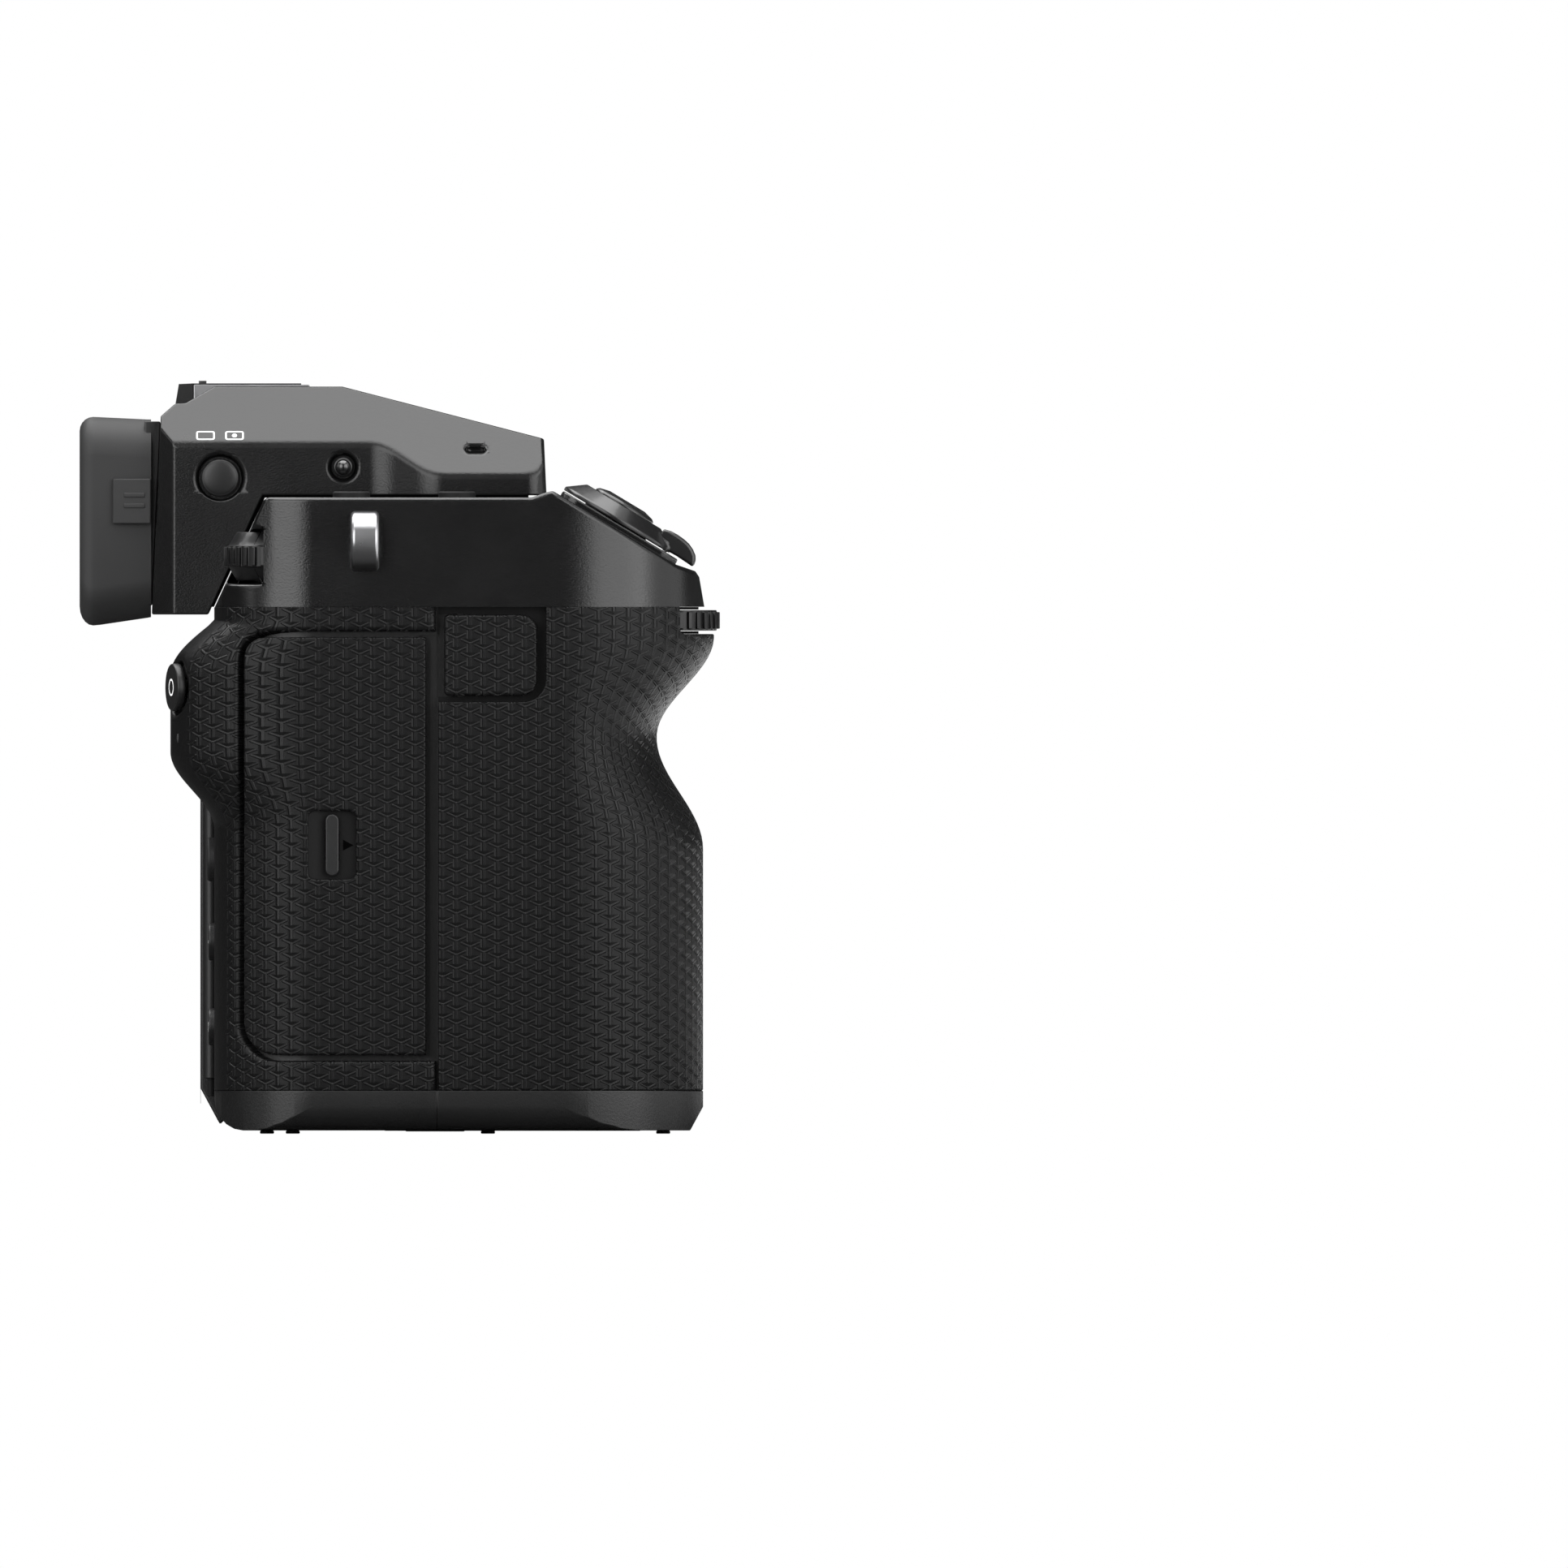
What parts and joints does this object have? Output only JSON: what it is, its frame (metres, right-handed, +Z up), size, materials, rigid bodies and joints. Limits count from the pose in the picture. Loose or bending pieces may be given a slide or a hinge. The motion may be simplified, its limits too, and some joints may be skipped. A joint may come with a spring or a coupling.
{
  "type": "medium format digital camera",
  "caption": "Mirrorless medium format camera body with deep rubber grip, removable slide-on viewfinder, tilting rear screen, bayonet lens mount, hinged doors and working dials and buttons.",
  "frame": {"origin": "on the ground under the middle of the overall box, the foot pads standing on Z = 0", "axes": "+X across the body away from the hand grip, -Y the way the lens looks, +Z up"},
  "size_m": [0.1524, 0.0994, 0.1169],
  "materials": {
    "body_paint": "fine grain matt black",
    "top_paint": "fine grain matt black",
    "grip_rubber": "moulded three-arm relief",
    "smooth_rubber": "satin dark grey",
    "core_plastic": "as moulded",
    "evf_plastic": "fine grain matt black",
    "control_black": "black, semi gloss",
    "dial_metal": "black anodised, ribbed",
    "steel": "turned",
    "chrome": "polished",
    "die_cast": "cast",
    "screen_glass": "dark cover glass",
    "clear_glass": "coated",
    "sensor_filter": "coated filter",
    "board": "solder mask",
    "cell": "battery case"
  },
  "bodies": {
    "camera_body": {"front_cover": "body_paint", "rear_cover": "body_paint", "top_cover": "top_paint", "grip_core": "core_plastic", "grip_cover": "grip_rubber", "thumb_cover": "grip_rubber", "side_cover": "grip_rubber", "tripod_plate": "steel", "feet": "smooth_rubber", "chassis": "die_cast", "mount_ring": "steel", "mount_screws": "steel", "mount_contacts": "core_plastic", "shutter_unit": "core_plastic", "image_sensor": "core_plastic", "sensor_glass": "sensor_filter", "main_board": "board", "battery": "cell", "card_slots": "core_plastic", "connectors": "core_plastic", "strap_lugs": "chrome", "sub_monitor": "screen_glass", "evf_rail": "steel"},
    "viewfinder": {"evf_housing": "evf_plastic", "eyepiece_frame": "core_plastic", "eyecup": "smooth_rubber", "eyepiece_lens": "clear_glass", "evf_panel": "screen_glass", "hot_shoe": "steel"},
    "lens_lock_pin_body": {"lens_lock_pin": "steel"},
    "lens_release_body": {"lens_release": "control_black"},
    "battery_door_body": {"battery_door": "body_paint"},
    "battery_latch_body": {"battery_latch": "core_plastic"},
    "card_door_body": {"card_door": "grip_rubber"},
    "card_latch_body": {"card_latch": "core_plastic"},
    "remote_cap_body": {"remote_cap": "smooth_rubber"},
    "port_door_upper_body": {"port_door_upper": "smooth_rubber"},
    "port_door_lower_body": {"port_door_lower": "smooth_rubber"},
    "shutter_button_body": {"shutter_button": "control_black"},
    "power_lever_body": {"power_lever": "dial_metal"},
    "front_dial_body": {"front_dial": "dial_metal"},
    "rear_dial_body": {"rear_dial": "dial_metal"},
    "mode_dial_body": {"mode_dial": "dial_metal"},
    "mode_lock_body": {"mode_lock": "control_black"},
    "fn_button_rear_body": {"fn_button_rear": "control_black"},
    "fn_button_front_body": {"fn_button_front": "control_black"},
    "deck_button_body": {"deck_button": "control_black"},
    "q_button_body": {"q_button": "control_black"},
    "af_button_body": {"af_button": "control_black"},
    "play_button_body": {"play_button": "control_black"},
    "menu_button_body": {"menu_button": "control_black"},
    "display_button_body": {"display_button": "control_black"},
    "focus_stick_body": {"focus_stick": "control_black"},
    "lcd_swing_body": {"lcd_swing": "dial_metal"},
    "lcd_arm_body": {"lcd_arm": "dial_metal"},
    "lcd_screen_body": {"lcd_screen": "screen_glass"},
    "view_button_body": {"view_button": "control_black"},
    "evf_release_body": {"evf_release": "control_black"},
    "diopter_dial_body": {"diopter_dial": "dial_metal"},
    "shoe_cover_body": {"shoe_cover": "control_black"}
  },
  "joints": [
    {"name": "shutter_button_press", "type": "slide", "parent": "camera_body", "child": "shutter_button_body", "axis": [0, 0.515, -0.8572], "range_m": [0, 0.0006], "stiffness_N_per_m": 600},
    {"name": "power_lever_turn", "type": "hinge", "parent": "camera_body", "child": "power_lever_body", "pos_m": [-0.05201, -0.033, 0.09427], "axis": [0, -0.515, 0.8572], "range_deg": [0, 30]},
    {"name": "deck_button_press", "type": "slide", "parent": "camera_body", "child": "deck_button_body", "axis": [0, 0.515, -0.8572], "range_m": [0, 0.0006], "stiffness_N_per_m": 400},
    {"name": "front_dial_spin", "type": "hinge", "parent": "camera_body", "child": "front_dial_body", "pos_m": [-0.05201, -0.0407, 0.0797], "axis": [0, 0, 1], "continuous": true},
    {"name": "rear_dial_spin", "type": "hinge", "parent": "camera_body", "child": "rear_dial_body", "pos_m": [-0.06, 0.0183, 0.08965], "axis": [0, 0, 1], "continuous": true},
    {"name": "mode_dial_spin", "type": "hinge", "parent": "camera_body", "child": "mode_dial_body", "pos_m": [0.056, 0.002, 0.101], "axis": [0, 0, 1], "continuous": true},
    {"name": "mode_lock_press", "type": "slide", "parent": "camera_body", "child": "mode_lock_body", "axis": [0, 0, -1], "range_m": [0, 0.0006], "stiffness_N_per_m": 400},
    {"name": "fn_button_rear_press", "type": "slide", "parent": "camera_body", "child": "fn_button_rear_body", "axis": [0, 0, -1], "range_m": [0, 0.0006], "stiffness_N_per_m": 400},
    {"name": "fn_button_front_press", "type": "slide", "parent": "camera_body", "child": "fn_button_front_body", "axis": [0, 0, -1], "range_m": [0, 0.0006], "stiffness_N_per_m": 400},
    {"name": "q_button_press", "type": "slide", "parent": "camera_body", "child": "q_button_body", "axis": [0.2698, -0.9629, 0], "range_m": [0, 0.0006], "stiffness_N_per_m": 400},
    {"name": "af_button_press", "type": "slide", "parent": "camera_body", "child": "af_button_body", "axis": [0, -1, 0], "range_m": [0, 0.0006], "stiffness_N_per_m": 400},
    {"name": "play_button_press", "type": "slide", "parent": "camera_body", "child": "play_button_body", "axis": [0, -1, 0], "range_m": [0, 0.0006], "stiffness_N_per_m": 400},
    {"name": "menu_button_press", "type": "slide", "parent": "camera_body", "child": "menu_button_body", "axis": [0, -1, 0], "range_m": [0, 0.0006], "stiffness_N_per_m": 400},
    {"name": "display_button_press", "type": "slide", "parent": "camera_body", "child": "display_button_body", "axis": [0, -1, 0], "range_m": [0, 0.0006], "stiffness_N_per_m": 400},
    {"name": "focus_stick_tilt", "type": "hinge", "parent": "camera_body", "child": "focus_stick_body", "pos_m": [-0.04701, 0.02535, 0.0426], "axis": [1, 0, 0], "range_deg": [-5, 5], "stiffness_Nm_per_rad": 0.05},
    {"name": "lens_release_press", "type": "slide", "parent": "camera_body", "child": "lens_release_body", "axis": [0, 1, 0], "range_m": [0, 0.0015], "stiffness_N_per_m": 300},
    {"name": "lens_lock_pin_draw", "type": "slide", "parent": "camera_body", "child": "lens_lock_pin_body", "axis": [0, 1, 0], "range_m": [0, 0.0015]},
    {"name": "battery_door_hinge", "type": "hinge", "parent": "camera_body", "child": "battery_door_body", "pos_m": [-0.03891, -0.0175, 0.00145], "axis": [0, -1, 0], "range_deg": [0, 95]},
    {"name": "battery_latch_press", "type": "slide", "parent": "battery_door_body", "child": "battery_latch_body", "axis": [1, 0, 0], "range_m": [0, 0.002], "stiffness_N_per_m": 150},
    {"name": "card_door_hinge", "type": "hinge", "parent": "camera_body", "child": "card_door_body", "pos_m": [-0.0696, -0.0033, 0.045], "axis": [0, 0, 1], "range_deg": [0, 90]},
    {"name": "card_latch_press", "type": "slide", "parent": "card_door_body", "child": "card_latch_body", "axis": [0, -1, 0], "range_m": [0, 0.0022], "stiffness_N_per_m": 150},
    {"name": "remote_cap_hinge", "type": "hinge", "parent": "camera_body", "child": "remote_cap_body", "pos_m": [-0.0698, -0.008, 0.074], "axis": [0, 0, -1], "range_deg": [0, 80]},
    {"name": "port_door_upper_hinge", "type": "hinge", "parent": "camera_body", "child": "port_door_upper_body", "pos_m": [0.0697, -0.0027, 0.06], "axis": [0, 0, -1], "range_deg": [0, 90]},
    {"name": "port_door_lower_hinge", "type": "hinge", "parent": "camera_body", "child": "port_door_lower_body", "pos_m": [0.0697, -0.0027, 0.028], "axis": [0, 0, -1], "range_deg": [0, 90]},
    {"name": "lcd_swing_hinge", "type": "hinge", "parent": "camera_body", "child": "lcd_swing_body", "pos_m": [-0.0352, 0.0293, 0.032], "axis": [0, 0, 1], "range_deg": [0, 60]},
    {"name": "lcd_tilt_hinge", "type": "hinge", "parent": "lcd_swing_body", "child": "lcd_arm_body", "pos_m": [0.009, 0.0247, 0.0045], "axis": [-1, 0, 0], "range_deg": [0, 45]},
    {"name": "lcd_lift_hinge", "type": "hinge", "parent": "lcd_arm_body", "child": "lcd_screen_body", "pos_m": [0.009, 0.0295, 0.0621], "axis": [1, 0, 0], "range_deg": [0, 90]},
    {"name": "viewfinder_slide", "type": "slide", "parent": "camera_body", "child": "viewfinder", "axis": [0, 1, 0], "range_m": [0, 0.06]},
    {"name": "view_button_press", "type": "slide", "parent": "viewfinder", "child": "view_button_body", "axis": [1, 0, 0], "range_m": [0, 0.0006], "stiffness_N_per_m": 400},
    {"name": "evf_release_press", "type": "slide", "parent": "viewfinder", "child": "evf_release_body", "axis": [1, 0, 0], "range_m": [0, 0.0006], "stiffness_N_per_m": 400},
    {"name": "diopter_dial_spin", "type": "hinge", "parent": "viewfinder", "child": "diopter_dial_body", "pos_m": [0.035, 0.0279, 0.1008], "axis": [1, 0, 0], "continuous": true},
    {"name": "shoe_cover_slide", "type": "slide", "parent": "viewfinder", "child": "shoe_cover_body", "axis": [0, 1, 0], "range_m": [0, 0.022]}
  ],
  "couplings": [
    {"joint": "lens_lock_pin_draw", "follows": "lens_release_press", "ratio": 1}
  ]
}
